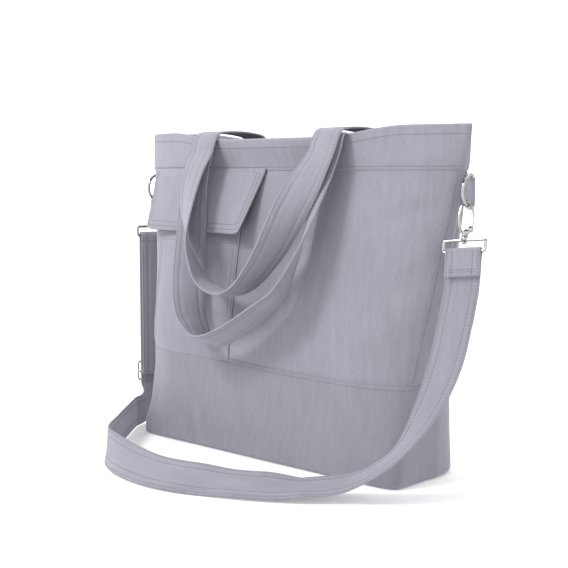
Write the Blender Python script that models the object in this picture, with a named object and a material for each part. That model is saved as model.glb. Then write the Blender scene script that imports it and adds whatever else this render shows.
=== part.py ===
"""A boxed canvas tote bag with a flap pocket, two handles and a clip-on shoulder strap.

Metres, +Z up. The origin is the middle of the base. +X is the bag's right, and the pocket faces -Y.
"""

import math

import bmesh
import bpy
from mathutils import Matrix, Vector

MM = 0.001
GAP = 0.3 * MM  # between two pieces that touch

# Bag
HEIGHT = 362 * MM  # to the middle of the rim
EAR_RISE = 11 * MM  # how far the rim's corners stand above its middle
BASE_SEAM = 105 * MM
BAND_SEAM = 327 * MM
CANVAS = 1.6 * MM
LINING = 0.8 * MM
BACK_DEPTH = 0.92  # the back stands out a little less than the front
# Height, half width, half depth, and the section's two exponents: full and square low down, a lens at the rim
SECTION_STOPS = (
    (0.000, 0.2010, 0.0650, 16.0, 0.07),
    (0.050, 0.2020, 0.0660, 11.0, 0.14),
    (0.107, 0.2055, 0.0650, 7.0, 0.28),
    (0.200, 0.2200, 0.0580, 4.5, 0.42),
    (0.256, 0.2284, 0.0520, 3.6, 0.47),
    (0.300, 0.2350, 0.0440, 3.1, 0.50),
    (0.330, 0.2395, 0.0400, 3.0, 0.52),
    (0.372, 0.2458, 0.0400, 2.4, 0.85),
)
COLUMNS = 22  # facets across each face of the bag
SOFTEST_BACK = 0.5  # the back's corners are never squarer than this exponent

# Pocket and flap, both left of the middle
POCKET_LEFT = -190 * MM
POCKET_RIGHT_TOP = -33 * MM
POCKET_RIGHT_BOTTOM = -43 * MM
POCKET_TOP = 262 * MM
POCKET_CLOTH = 1.2 * MM
FLAP_MIDDLE = -110.5 * MM
FLAP_TOP_HALF = 104.5 * MM
FLAP_BOTTOM_HALF = 93.5 * MM
FLAP_BOTTOM = 255 * MM
FLAP_STAND_OFF = (14 * MM, 4 * MM, 18 * MM)  # of its lower edge at the left corner, middle and right corner
FLAP_CLOTH = 2.0 * MM

# Straps
BAND_WIDTH = 38 * MM
HANDLE_CLOTH = 2.4 * MM
STRAP_CLOTH = 2.0 * MM
FOLD_LENGTH = 26 * MM  # how far the strap's sewn end is folded back

# Side rings: a half circle on a straight upright bar, which the tab holds. The left tab leans back
BARS = {1: (245 * MM, 0), -1: (-244 * MM, 5 * MM)}  # where each ring's bar stands
RING_Z = 304.5 * MM
RING_RADIUS = 17 * MM
RING_WIRE = 1.7 * MM
TAB_HEIGHT = 29 * MM
TAB_CLOTH = 1.2 * MM

# Swivel hooks, in the hook's own frame: c runs up the hook from the foot of its collar
OVAL_HALF = 7.2 * MM
OVAL_MIDDLE = 19.5 * MM
OVAL_RISE = 16.5 * MM
OVAL_SQUARE = 0.85  # below 1, the loop's ends are blunter than an ellipse's
HOOK_WIRE = 1.5 * MM
GATE_WIRE = 1.2 * MM
NOSE = math.radians(53)  # from the oval's top, towards the gate
GATE_TIP = math.radians(57)
HINGE = math.radians(135)
EYE_HALF = 22.5 * MM
EYE_TOP = -2.3 * MM
EYE_BAR = -15.5 * MM
EYE_WIRE = 1.6 * MM
EYE_CORNER = 2.5 * MM
POST = 1.5 * MM
SEAT = OVAL_MIDDLE + OVAL_RISE - HOOK_WIRE - 1.5 * MM - RING_WIRE  # where the ring lies in the hook

# Slider, round the left leg of the strap
SLIDER_Z = 66 * MM
SLIDER_RISE = 12 * MM  # from its middle bar to its end bars
SLIDER_HALF = 21.5 * MM
SLIDER_WIRE = 1.2 * MM
LAYER_Y = 3.9 * MM  # from the middle between the strap's two layers to each layer
TAIL_DROP = 8 * MM  # how far below the left eye the tail is counted from
STRAP_RISE_END = 14 * MM  # how far below the slider the strap has turned upright
STRAP_RISE_REACH = 42 * MM  # and how far along the floor that turn takes


# ---------------------------------------------------------------- helpers

def clear_scene():
    for thing in list(bpy.data.objects):
        bpy.data.objects.remove(thing, do_unlink=True)


def new_collection(name):
    made = bpy.data.collections.new(name)
    bpy.context.scene.collection.children.link(made)
    return made


def material(name, colour, roughness, metallic=0.0):
    made = bpy.data.materials.new(name)
    made.use_nodes = True
    shader = made.node_tree.nodes["Principled BSDF"]
    shader.inputs["Base Color"].default_value = (*colour, 1.0)
    shader.inputs["Roughness"].default_value = roughness
    shader.inputs["Metallic"].default_value = metallic
    return made


def add(name, mesh, look, smooth=False):
    """A new object of the mesh, in the bag's collection."""
    piece = bpy.data.objects.new(name, mesh)
    piece.data.materials.append(look)
    PARTS.objects.link(piece)
    if smooth:
        mesh.shade_smooth()
    return piece


def mesh_of(points, faces, name):
    mesh = bpy.data.meshes.new(name)
    mesh.from_pydata([tuple(p) for p in points], [], faces)
    bm = bmesh.new()
    bm.from_mesh(mesh)
    bmesh.ops.recalc_face_normals(bm, faces=bm.faces)
    bm.to_mesh(mesh)
    bm.free()
    return mesh


def ease(t):
    t = min(max(t, 0.0), 1.0)
    return t * t * (3 - 2 * t)


def mix(a, b, t):
    return a + (b - a) * t


def spline(points, t):
    """The point at t, from 0 to 1, of a smooth curve through the points."""
    spans = len(points) - 1
    at = min(max(t, 0.0), 1.0) * spans
    k = min(int(at), spans - 1)
    f = at - k
    b, c = points[k], points[k + 1]
    a = points[k - 1] if k else b * 2 - c
    d = points[k + 2] if k + 2 <= spans else c * 2 - b
    square, cube = a * 2 - b * 5 + c * 4 - d, b * 3 - a - c * 3 + d
    return 0.5 * (b * 2 + (c - a) * f + square * f ** 2 + cube * f ** 3)


def slab(name, outer, inner, columns, rows, look):
    """A bent sheet: outer(u, v) and inner(u, v) give its two faces for u and v from 0 to 1."""
    points = []
    for face in (outer, inner):
        for j in range(rows + 1):
            for i in range(columns + 1):
                points.append(face(i / columns, j / rows))
    wide = columns + 1
    half = wide * (rows + 1)
    faces = []
    for j in range(rows):
        for i in range(columns):
            a = j * wide + i
            quad = (a, a + 1, a + wide + 1, a + wide)
            faces.append(quad)
            faces.append(tuple(half + k for k in reversed(quad)))
    border = [i for i in range(columns)]
    border += [j * wide + columns for j in range(rows)]
    border += [rows * wide + i for i in range(columns, 0, -1)]
    border += [j * wide for j in range(rows, 0, -1)]
    for a, b in zip(border, border[1:] + border[:1]):
        faces.append((b, a, half + a, half + b))
    return add(name, mesh_of(points, faces, name), look)


def cup(name, outer_rows, inner_rows, look):
    """A bag: rings of points from the rim down, outside and inside, each closed by its lowest ring."""
    rings = outer_rows + inner_rows
    count = len(rings[0])
    points = [p for ring in rings for p in ring]
    faces = []

    def wall(first, second):
        for i in range(count):
            k = (i + 1) % count
            low, high = first * count, second * count
            faces.append((low + i, high + i, high + k, low + k))

    for r in range(len(outer_rows) - 1):
        wall(r, r + 1)
    first_inner = len(outer_rows)
    for r in range(first_inner, len(rings) - 1):
        wall(r + 1, r)
    wall(first_inner, 0)
    lowest = (first_inner - 1) * count
    faces.append(tuple(lowest + i for i in range(count)))
    lowest = (len(rings) - 1) * count
    faces.append(tuple(lowest + i for i in reversed(range(count))))
    return add(name, mesh_of(points, faces, name), look)


def ribbon(name, centres, edges, thickness, look, width=BAND_WIDTH):
    """A flat band along the centres, whose width runs along the edges' directions."""
    count = len(centres)
    points = []
    for i in range(count):
        ahead = (centres[min(i + 1, count - 1)] - centres[max(i - 1, 0)]).normalized()
        edge = (edges[i] - ahead * edges[i].dot(ahead)).normalized()
        face = ahead.cross(edge)
        for w, n in ((1, 1), (-1, 1), (-1, -1), (1, -1)):
            points.append(centres[i] + edge * (w * width / 2) + face * (n * thickness / 2))
    faces = [(3, 2, 1, 0), tuple(4 * (count - 1) + k for k in range(4))]
    for i in range(count - 1):
        for k in range(4):
            a, b = 4 * i + k, 4 * i + (k + 1) % 4
            faces.append((a, b, b + 4, a + 4))
    return add(name, mesh_of(points, faces, name), look)


def band(name, stations, thickness, look, steps):
    """A ribbon through stations of (centre, edge direction), both in whole millimetres or units."""
    centres = [Vector(c) * MM for c, _ in stations]
    edges = [Vector(e).normalized() for _, e in stations]
    along = [i / steps for i in range(steps + 1)]
    run = [spline(centres, t) for t in along]
    return ribbon(name, run, [spline(edges, t) for t in along], thickness, look)


def wire(points, radius, cyclic=False, resolution=2):
    """A round wire along the points, as a mesh."""
    data = bpy.data.curves.new("wire", "CURVE")
    data.dimensions = "3D"
    data.bevel_depth = radius
    data.bevel_resolution = resolution
    data.use_fill_caps = not cyclic
    line = data.splines.new("POLY")
    line.points.add(len(points) - 1)
    for spot, p in zip(line.points, points):
        spot.co = (*p, 1.0)
    line.use_cyclic_u = cyclic
    guide = bpy.data.objects.new("wire", data)
    bpy.context.scene.collection.objects.link(guide)
    graph = bpy.context.evaluated_depsgraph_get()
    mesh = bpy.data.meshes.new_from_object(guide.evaluated_get(graph))
    bpy.data.objects.remove(guide, do_unlink=True)
    bm = bmesh.new()
    bm.from_mesh(mesh)
    bmesh.ops.remove_doubles(bm, verts=bm.verts, dist=0.01 * MM)
    bmesh.ops.recalc_face_normals(bm, faces=bm.faces)
    bm.to_mesh(mesh)
    bm.free()
    return mesh


def rod(radius, start, end, sides=14):
    """A straight round bar between two points, as a mesh."""
    start, end = Vector(start), Vector(end)
    bm = bmesh.new()
    bmesh.ops.create_cone(
        bm, cap_ends=True, segments=sides, radius1=radius, radius2=radius, depth=(end - start).length
    )
    turn = (end - start).to_track_quat("Z", "Y").to_matrix().to_4x4()
    bm.transform(Matrix.Translation((start + end) / 2) @ turn)
    mesh = bpy.data.meshes.new("rod")
    bm.to_mesh(mesh)
    bm.free()
    return mesh


def shaped(name, mesh, look, joined=(), cut=()):
    """The mesh with others joined to it and cut from it."""
    piece = add(name, mesh, look, smooth=True)
    for others, how in ((joined, "UNION"), (cut, "DIFFERENCE")):
        for i, other in enumerate(others):
            tool = bpy.data.objects.new(f"{name}_{how.lower()}_{i}", other)
            CUTTERS.objects.link(tool)
            tool.hide_render = True
            tool.display_type = "WIRE"
            tool.parent = piece
            step = piece.modifiers.new(f"{how.lower()}_{i}", "BOOLEAN")
            step.operation = how
            step.solver = "EXACT"
            step.object = tool
    return piece


# ---------------------------------------------------------------- the bag's form

def section(z):
    """Half width, half depth and the two exponents of the bag's outline at a height."""
    stops = SECTION_STOPS
    z_in = min(max(z, stops[0][0]), stops[-1][0])
    for low, high in zip(stops, stops[1:]):
        if z_in <= high[0]:
            t = (z_in - low[0]) / (high[0] - low[0])
            break
    return tuple(mix(low[k], high[k], t) for k in (1, 2, 3, 4))


def on_bag(t, z, side, inset=0.0, split=0.0):
    """The point a share t of the way from the middle to a side seam. side is -1 in front and 1 at the back."""
    half, depth, power, root = section(z)
    if side > 0:
        depth *= BACK_DEPTH
        root = max(root, SOFTEST_BACK)
    stand = max(1 - min(abs(t), 1.0) ** power, 0.0) ** root
    return Vector(((half - inset) * t, side * mix(split, depth - inset, stand), z))


def rim(t):
    """The rim's height: level in the middle, rising to the ears at the side seams."""
    return HEIGHT - 1.5 * MM + EAR_RISE * ease((abs(t) - 0.3) / 0.45)


def share(u):
    """Spaces columns closer together near the side seams."""
    return math.sin(math.pi / 2 * (2 * u - 1))


def panel(name, side, bottom, top, rows, look):
    """A front or back piece from one seam to another, on the bag's form."""

    def face(inset):
        def point(u, v):
            t = share(u) * side * -1
            return on_bag(t, mix(bottom(t), top(t), v), side, inset, GAP / 2)
        return point

    return slab(name, face(0.0), face(CANVAS), COLUMNS, rows, look)


def loop_at(height, inset, rise=0.0):
    """A closed ring of points round the bag, anticlockwise seen from above."""
    ring = []
    for side in (-1, 1):
        for i in range(COLUMNS):
            t = share(i / COLUMNS) * -side
            z = height(t) if callable(height) else height
            p = on_bag(t, z, side, inset)
            p.z += rise
            ring.append(p)
    return ring


def make_bag():
    level = lambda z: (lambda t: z)
    panel("front_panel", -1, level(BASE_SEAM + GAP / 2), level(BAND_SEAM - GAP / 2), 8, CANVAS_LOOK)
    panel("back_panel", 1, level(BASE_SEAM + GAP / 2), level(BAND_SEAM - GAP / 2), 8, CANVAS_LOOK)
    panel("front_top_band", -1, level(BAND_SEAM + GAP / 2), rim, 3, CANVAS_LOOK)
    panel("back_top_band", 1, level(BAND_SEAM + GAP / 2), rim, 3, CANVAS_LOOK)
    # The base piece turns under with a small round: (height, inset) from its seam down
    turned = [(z, 0) for z in (BASE_SEAM - GAP / 2, 75 * MM, 45 * MM, 20 * MM)]
    turned += [(6 * MM, 0.5 * MM), (1.2 * MM, 3 * MM), (0, 7 * MM)]
    outer = [loop_at(z, inset) for z, inset in turned]
    inner = [loop_at(z, inset + CANVAS, rise=CANVAS * (i > 3)) for i, (z, inset) in enumerate(turned)]
    cup("base_panel", outer, inner, CANVAS_LOOK)
    skin = CANVAS + 3 * GAP
    levels = [lambda t, v=v: mix(BAND_SEAM, rim(t) - 0.5 * MM, v) for v in (1.0, 0.667, 0.333)]
    levels += [mix(BAND_SEAM, BASE_SEAM, i / 8) for i in range(9)] + [0.075, 0.045, 0.02]
    turned = [(z, skin) for z in levels]
    turned += [(9 * MM, skin + 0.8 * MM), (4 * MM, skin + 3.5 * MM), (2.2 * MM, skin + 9 * MM)]
    outer = [loop_at(z, inset) for z, inset in turned]
    lift = [0] * (len(turned) - 2) + [LINING / 2, LINING]
    inner = [loop_at(z, inset + LINING, rise=up) for (z, inset), up in zip(turned, lift)]
    cup("lining", outer, inner, LINING_LOOK)


def make_pocket():
    """The patch pocket on the front, and the flap that hangs over it."""

    def out_from_front(x, z, out):
        half, depth, power, root = section(z)
        stand = max(1 - abs(x / (half + out)) ** power, 0.0) ** root
        return Vector((x, -(depth + out) * stand, z))

    def patch(out):
        def point(u, v):
            z = mix(BASE_SEAM + 1.5 * MM, POCKET_TOP, v)
            right = mix(POCKET_RIGHT_BOTTOM, POCKET_RIGHT_TOP, v)
            return out_from_front(mix(POCKET_LEFT, right, u), z, out)
        return point

    slab("pocket_patch", patch(GAP + POCKET_CLOTH + 0.5 * MM), patch(GAP + 0.5 * MM), 14, 8, CANVAS_LOOK)

    def flap(out):
        def point(u, v):
            z = mix(FLAP_BOTTOM, BAND_SEAM - 0.5 * MM, v)
            half = mix(FLAP_BOTTOM_HALF, FLAP_TOP_HALF, v)
            left, middle, right = FLAP_STAND_OFF
            stand_off = middle + (left - middle) * (1 - u) ** 3 + (right - middle) * u ** 3
            hung = Vector((0, -stand_off * (1 - v) ** 1.2, 0))
            return out_from_front(FLAP_MIDDLE + half * (2 * u - 1), z, 1.0 * MM + out) + hung
        return point

    slab("pocket_flap", flap(FLAP_CLOTH), flap(0.0), 16, 6, CANVAS_LOOK)


# ---------------------------------------------------------------- straps

# Each handle from its left root to its right root: the centre in mm, and the direction of its front edge
FRONT_HANDLE = (
    ((-97, -39, 365), (-1, 0, 0)),
    ((-98, -44, 364), (-1, 0, 0)),
    ((-99, -48, 357), (-1, 0, 0)),
    ((-99, -52, 345), (-1, 0, 0)),
    ((-99.5, -61, 324), (-1, -0.15, 0)),
    ((-98, -68, 285), (-1, -0.25, 0)),
    ((-95, -74, 246), (-0.9, -0.44, 0)),
    ((-93, -80, 204), (-0.8, -0.6, 0)),
    ((-82, -88, 168), (-0.5, -0.85, 0.1)),
    ((-68, -92, 149), (-0.3, -0.92, 0.25)),
    ((-47, -96, 134), (0, -0.92, 0.4)),
    ((-8, -96, 147), (0.05, -0.92, 0.38)),
    ((34, -93, 174), (0.2, -0.92, 0.33)),
    ((60, -87, 197), (0.35, -0.9, 0.25)),
    ((79, -78, 240), (0.6, -0.78, 0.1)),
    ((89, -70, 277), (0.8, -0.6, 0)),
    ((93, -60, 318), (1, -0.15, 0)),
    ((96, -52, 345), (1, 0, 0)),
    ((96, -48, 357), (1, 0, 0)),
    ((95, -44, 364), (1, 0, 0)),
    ((95, -39, 365), (1, 0, 0)),
)
BACK_HANDLE = (
    ((-94, 31, 366), (1, 0, 0)),
    ((-94, 22, 369), (1, 0, 0)),
    ((-94, -5, 371.5), (1, 0, 0)),
    ((-94, -34, 371), (1, 0, 0)),
    ((-94, -46, 368), (1, 0, 0)),
    ((-94, -53, 358), (1, 0, 0)),
    ((-94, -58, 345), (1, 0, 0)),
    ((-94, -69, 326), (1, -0.1, 0)),
    ((-93, -80, 294), (1, -0.3, 0)),
    ((-80, -92, 247), (0.69, -0.73, 0)),
    ((-67, -93, 218), (0.5, -0.86, 0)),
    ((-50, -92, 199), (0.25, -0.95, 0.05)),
    ((-22, -92, 189), (0, -1, 0.1)),
    ((4, -92, 195), (-0.1, -1, 0.05)),
    ((26, -92, 212), (-0.25, -0.95, 0)),
    ((53, -91, 244), (-0.5, -0.87, 0)),
    ((74, -85, 284), (-0.78, -0.62, 0)),
    ((88, -74, 317), (-0.93, -0.3, 0)),
    ((94, -60, 343), (-1, 0, 0)),
    ((94, -53, 358), (-1, 0, 0)),
    ((94, -46, 368), (-1, 0, 0)),
    ((94, -34, 371), (-1, 0, 0)),
    ((94, -5, 371.5), (-1, 0, 0)),
    ((94, 22, 369), (-1, 0, 0)),
    ((94, 31, 366), (-1, 0, 0)),
)


def make_handles():
    band("front_handle", FRONT_HANDLE, HANDLE_CLOTH, CANVAS_LOOK, 80)
    band("back_handle", BACK_HANDLE, HANDLE_CLOTH, CANVAS_LOOK, 84)


# The strap's free run in mm, from below its right end to the slider, with the direction of its upper edge
STRAP_RUN = (
    ((252, -27, 205), (-1, -0.17, 0)),
    ((250, -34, 174), (-1, -0.17, 0)),
    ((247, -46, 133), (-1, -0.10, 0)),
    ((240, -65, 92), (-1, 0.20, 0)),
    ((228, -87, 56), (-0.8, 0.6, 0)),
    ((208, -103, 33), (-0.5, 0.8, 0.2)),
    ((181, -119, 17), (-0.2, 0.9, 0.3)),
    ((148, -148, 12.5), (0.3, 0.85, 0.15)),
    ((112, -172, 13), (0.4, 0.75, 0.25)),
    ((75, -190, 13), (0.35, 0.8, 0.35)),
    ((37, -207, 15), (0.35, 0.75, 0.5)),
    ((-9, -213, 15.5), (0.2, 0.75, 0.65)),
    ((-59, -207, 18), (0, 0.6, 0.8)),
    ((-101, -193, 20), (-0.1, 0.3, 0.95)),
    ((-124, -174, 20.5), (0, 0, 1)),
    ((-155, -137, 20.5), (0, 0, 1)),
    ((-189, -97, 20.5), (0, 0, 1)),
    ((-226, -52, 20.5), (0, 0, 1)),
)


def bar_of_eye(side):
    """The middle of the straight bar of an eye, which the strap is looped round."""
    frame = hook_frame(side)
    return frame @ Vector((0, 0, EYE_BAR))


def round_bar(bar, up, front, radius, steps=8):
    """Points over a bar: up one side, round the top and down the other. front is where they start."""
    return [
        bar + front * (radius * math.cos(math.pi * i / steps)) + up * (radius * math.sin(math.pi * i / steps))
        for i in range(steps + 1)
    ]


def make_strap():
    """The long strap, sewn back on itself at the right and looped through the left eye and the slider."""
    bar = bar_of_eye(1)
    up = hook_frame(1).col[2].xyz
    front = -hook_frame(1).col[1].xyz
    layer = STRAP_CLOTH / 2 + GAP
    loop = EYE_WIRE + GAP + STRAP_CLOTH / 2
    run = [Vector(c) * MM for c, _ in STRAP_RUN]
    centres = [bar - up * s + front * layer for s in (FOLD_LENGTH, FOLD_LENGTH * 0.6, 7 * MM)]
    centres += round_bar(bar, up, front, loop)
    centres += [bar - up * s - front * layer for s in (7 * MM, FOLD_LENGTH * 0.7)]
    edges = [-hook_frame(1).col[0].xyz] * len(centres)
    steps = 96
    centres += [spline(run, i / steps) for i in range(steps + 1)]
    directions = [Vector(e).normalized() for _, e in STRAP_RUN]
    edges += [spline(directions, i / steps) for i in range(steps + 1)]
    # up the left leg, over the bar of the left eye
    left = bar_of_eye(-1)
    across = hook_frame(-1).col[0].xyz
    ahead = -hook_frame(-1).col[1].xyz
    rise = Vector((0, 0, 1))
    leg = Vector((left.x, left.y, 0))
    foot = leg + ahead * LAYER_Y + rise * (SLIDER_Z - STRAP_RISE_END)
    came = Vector((foot.x - run[-1].x, foot.y - run[-1].y, 0)).normalized()
    radius = foot.z - run[-1].z
    for i in range(13):
        turn = math.pi / 2 * i / 12
        back, down = STRAP_RISE_REACH * (1 - math.sin(turn)), radius * math.cos(turn)
        centres.append(foot - came * back - rise * down)
        edges.append(rise * math.cos(turn) + came.lerp(-across, ease(i / 12)) * -math.sin(turn))
    climb = 10
    straight = left.z - 2 * MM - foot.z
    centres += [foot + rise * (straight * i / climb) for i in range(1, climb + 1)]
    centres += round_bar(left, rise, ahead, LAYER_Y)[1:-1]
    centres += [left - ahead * LAYER_Y - rise * s for s in (2 * MM, TAIL_DROP)]
    edges += [across] * (len(centres) - len(edges))
    ribbon("shoulder_strap", centres, edges, STRAP_CLOTH, CANVAS_LOOK)
    # the tail comes down behind and is sewn round the slider's middle bar
    tail_top = left.z - TAIL_DROP - GAP
    wrap = SLIDER_WIRE + GAP + STRAP_CLOTH / 2
    hub = leg - ahead * (LAYER_Y - wrap) + rise * SLIDER_Z
    tail = [leg - ahead * LAYER_Y + rise * mix(tail_top, SLIDER_Z + 3 * MM, i / 8) for i in range(9)]
    tail += round_bar(hub, -rise, -ahead, wrap)
    tail.append(tail[-1] + rise * 6 * MM)
    ribbon("strap_tail", tail, [across] * len(tail), STRAP_CLOTH, CANVAS_LOOK)


# ---------------------------------------------------------------- metal

def ring_point(side, angle):
    """A point on the ring's bow, at an angle forward of its lowest point."""
    x, y = BARS[side]
    return Vector((x, y - RING_RADIUS * math.sin(angle), RING_Z - RING_RADIUS * math.cos(angle)))


# For each side: where the hook sits on the ring's bow, the way it hangs, and where its gate points
HOOKS = {
    1: (math.radians(30), Vector((0.142, -0.305, -0.942)), Vector((0.866, 0.5, 0)), Vector((0.986, 0.17, 0))),
    -1: (math.radians(31), Vector((0, 0, -1)), Vector((-0.97, 0.25, 0)), Vector((-0.33, -0.944, 0))),
}


def frame_from(origin, across, up):
    """A frame at origin, with Z along up and X as near to across as that allows."""
    z = up.normalized()
    x = (across - z * across.dot(z)).normalized()
    return Matrix.Translation(origin) @ Matrix((x, z.cross(x), z)).transposed().to_4x4()


def hook_frame(side, across=None):
    """The hook's frame: its foot is at the origin, and the ring lies in it at SEAT."""
    angle, hang, gate_way, eye_way = HOOKS[side]
    up = -hang.normalized()
    foot = ring_point(side, angle) - up * SEAT
    return frame_from(foot, across or eye_way, up)


def oval(angle):
    """A point on the hook's long loop, at an angle from its top towards the gate."""
    across = math.copysign(abs(math.sin(angle)) ** OVAL_SQUARE, math.sin(angle))
    return Vector((OVAL_HALF * across, 0, OVAL_MIDDLE + OVAL_RISE * math.cos(angle)))


def make_hook(side, name):
    """A swivel hook: its body, sprung gate and gate pin, and the eye that the strap is sewn to."""
    frame = hook_frame(side, HOOKS[side][2])
    hinge = oval(HINGE)
    out = Vector((0, 1, 0))
    count = 30
    bend = [oval(mix(NOSE, -math.pi - 0.75, i / count)) for i in range(count + 1)]
    collar = rod(3.0 * MM, (0, 0, 0), (0, 0, 5 * MM))
    post = rod(POST, (0, 0, -7 * MM), (0, 0, 1 * MM), 12)
    head = rod(2.4 * MM, (0, 0, -7.4 * MM), (0, 0, -5.8 * MM), 12)
    ears = rod(2.6 * MM, hinge - out * 2.9 * MM, hinge + out * 2.9 * MM)
    slot = rod(3.1 * MM, hinge - out * 1.5 * MM, hinge + out * 1.5 * MM)
    bore = rod(0.85 * MM, hinge - out * 4 * MM, hinge + out * 4 * MM, 10)
    web = rod(2.9 * MM, (1.2 * MM, -2.9 * MM, 4.4 * MM), (1.2 * MM, 2.9 * MM, 4.4 * MM))
    body = shaped(
        f"{name}_hook_body", wire(bend, HOOK_WIRE), METAL_LOOK,
        (web, ears, collar, post, head), (slot, bore),
    )
    body.matrix_world = frame
    count = 12
    lever = [oval(mix(HINGE, GATE_TIP, i / count)) for i in range(count + 1)]
    barrel = rod(1.9 * MM, hinge - out * 1.2 * MM, hinge + out * 1.2 * MM)
    gate = shaped(f"{name}_hook_gate", wire(lever, GATE_WIRE), METAL_LOOK, (barrel,), (bore.copy(),))
    gate.matrix_world = frame
    pin = add(f"{name}_gate_pin", rod(0.6 * MM, hinge - out * 2.8 * MM, hinge + out * 2.8 * MM, 10), STEEL_LOOK)
    pin.matrix_world = frame
    half = EYE_HALF
    corners = ((half, EYE_BAR), (-half, EYE_BAR), (-half, EYE_TOP - 1.5 * MM), (half, EYE_TOP - 1.5 * MM))
    path = []
    for (x, z), first in zip(corners, (0, 90, 180, 270)):
        inward = EYE_CORNER if z == EYE_BAR else -EYE_CORNER
        middle = Vector((x - math.copysign(EYE_CORNER, x), 0, z + inward))
        for i in range(5):
            turn = -math.radians(first + 22.5 * i)
            path.append(middle + EYE_CORNER * Vector((math.cos(turn), 0, math.sin(turn))))
    boss = rod(3.6 * MM, (0, 0, -4.3 * MM), (0, 0, -0.3 * MM))
    hole = rod(POST + 0.35 * MM, (0, 0, -6 * MM), (0, 0, 2 * MM), 12)
    eye = shaped(f"{name}_eye", wire(path, EYE_WIRE, cyclic=True), METAL_LOOK, (boss,), (hole,))
    eye.matrix_world = hook_frame(side)


def make_ring(side, name):
    """A D ring, and the folded canvas tab that holds its bar at the side seam."""
    arc = [ring_point(side, math.pi * i / 16) for i in range(17)]
    bar = Vector((*BARS[side], RING_Z))
    straight = [bar + Vector((0, 0, RING_RADIUS * z)) for z in (0.6, 0.0, -0.6)]
    shaped(f"{name}_d_ring", wire(arc + straight, RING_WIRE, cyclic=True), METAL_LOOK)
    reach = RING_WIRE + GAP + TAB_CLOTH / 2
    pinch = TAB_CLOTH / 2 + GAP
    root = Vector((side * (section(RING_Z + TAB_HEIGHT / 2)[0] + GAP), 0, RING_Z))
    way = (bar - root).normalized()
    root.x += side * abs(way.y) * (pinch + TAB_CLOTH / 2)
    beside = Vector((0, 0, side)).cross(way)
    neck = bar - way * 3 * MM
    path = [root - beside * pinch, neck - beside * pinch * 1.3]
    for i in range(9):
        turn = math.radians(-115 + 230 * i / 8)
        path.append(bar + (way * math.cos(turn) + beside * math.sin(turn)) * reach)
    path += [neck + beside * pinch * 1.3, root + beside * pinch]
    upright = [Vector((0, 0, side))] * len(path)
    ribbon(f"{name}_tab", path, upright, TAB_CLOTH, CANVAS_LOOK, width=TAB_HEIGHT)


def make_slider():
    """A three-bar slider: end bars in front of the strap, the middle bar behind it, inside the tail's end."""
    left = bar_of_eye(-1)
    depth = STRAP_CLOTH / 2 + GAP + SLIDER_WIRE
    front = -(LAYER_Y + depth)
    middle = LAYER_Y - depth
    path = []
    for x, z in ((-1, 1), (-1, -1), (1, -1), (1, 1)):
        corner = Vector((x * SLIDER_HALF, front, z * SLIDER_RISE))
        inward, along = Vector((-x, 0, 0)), Vector((0, 0, -z))
        bend = [corner + along * 3 * MM, corner + (inward + along) * 0.9 * MM, corner + inward * 3 * MM]
        path += bend if x * z > 0 else bend[::-1]
    arms = [
        rod(SLIDER_WIRE, (x * SLIDER_HALF, front, 0), (x * SLIDER_HALF, middle + 1.8 * MM, 0)) for x in (-1, 1)
    ]
    holes = [
        rod(0.9 * MM, ((SLIDER_HALF + 3 * MM) * x, middle, 0), ((SLIDER_HALF - 3 * MM) * x, middle, 0))
        for x in (-1, 1)
    ]
    seat = frame_from(Vector((left.x, left.y, SLIDER_Z)), hook_frame(-1).col[0].xyz, Vector((0, 0, 1)))
    frame = shaped("slider_frame", wire(path, SLIDER_WIRE, cyclic=True), METAL_LOOK, arms, holes)
    frame.matrix_world = seat
    reach = SLIDER_HALF - SLIDER_WIRE - GAP
    across = rod(SLIDER_WIRE, (-reach, middle, 0), (reach, middle, 0))
    bar = add("slider_bar", across, STEEL_LOOK, smooth=True)
    bar.matrix_world = seat


clear_scene()
PARTS = new_collection("tote_bag")
CUTTERS = new_collection("cutters")
CANVAS_LOOK = material("canvas", (0.36, 0.35, 0.42), 0.9)
LINING_LOOK = material("lining", (0.42, 0.41, 0.47), 0.85)
METAL_LOOK = material("nickel", (0.78, 0.76, 0.74), 0.18, 1.0)
STEEL_LOOK = material("steel", (0.62, 0.62, 0.62), 0.3, 1.0)

make_bag()
make_pocket()
make_handles()
make_strap()
for way, label in ((1, "right"), (-1, "left")):
    make_ring(way, label)
    make_hook(way, label)
make_slider()
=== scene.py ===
"""The looks of the canvas tote bag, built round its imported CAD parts. Metres, +Z up, front at -Y."""

import math

import bpy
import mathutils
import numpy as np
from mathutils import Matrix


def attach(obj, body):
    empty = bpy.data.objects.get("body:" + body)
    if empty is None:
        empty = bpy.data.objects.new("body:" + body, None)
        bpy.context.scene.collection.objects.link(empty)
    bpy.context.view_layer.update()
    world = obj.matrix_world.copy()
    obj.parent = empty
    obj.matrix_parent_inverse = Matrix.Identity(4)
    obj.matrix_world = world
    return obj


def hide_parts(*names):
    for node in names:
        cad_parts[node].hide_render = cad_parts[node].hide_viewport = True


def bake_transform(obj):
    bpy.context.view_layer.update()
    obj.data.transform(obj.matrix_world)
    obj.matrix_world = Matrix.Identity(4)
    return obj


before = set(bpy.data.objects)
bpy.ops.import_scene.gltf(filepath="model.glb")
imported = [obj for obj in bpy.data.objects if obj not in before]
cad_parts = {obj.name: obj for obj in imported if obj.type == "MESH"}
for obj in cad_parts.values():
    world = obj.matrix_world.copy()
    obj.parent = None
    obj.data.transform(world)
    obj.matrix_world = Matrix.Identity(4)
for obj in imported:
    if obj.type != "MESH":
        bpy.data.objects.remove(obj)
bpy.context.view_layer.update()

MM = 0.001

# -------- sizes, the same as the CAD's

HEIGHT = 362 * MM
EAR_RISE = 11 * MM
BASE_SEAM = 105 * MM
BAND_SEAM = 327 * MM
BACK_DEPTH = 0.92
SOFTEST_BACK = 0.5
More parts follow.
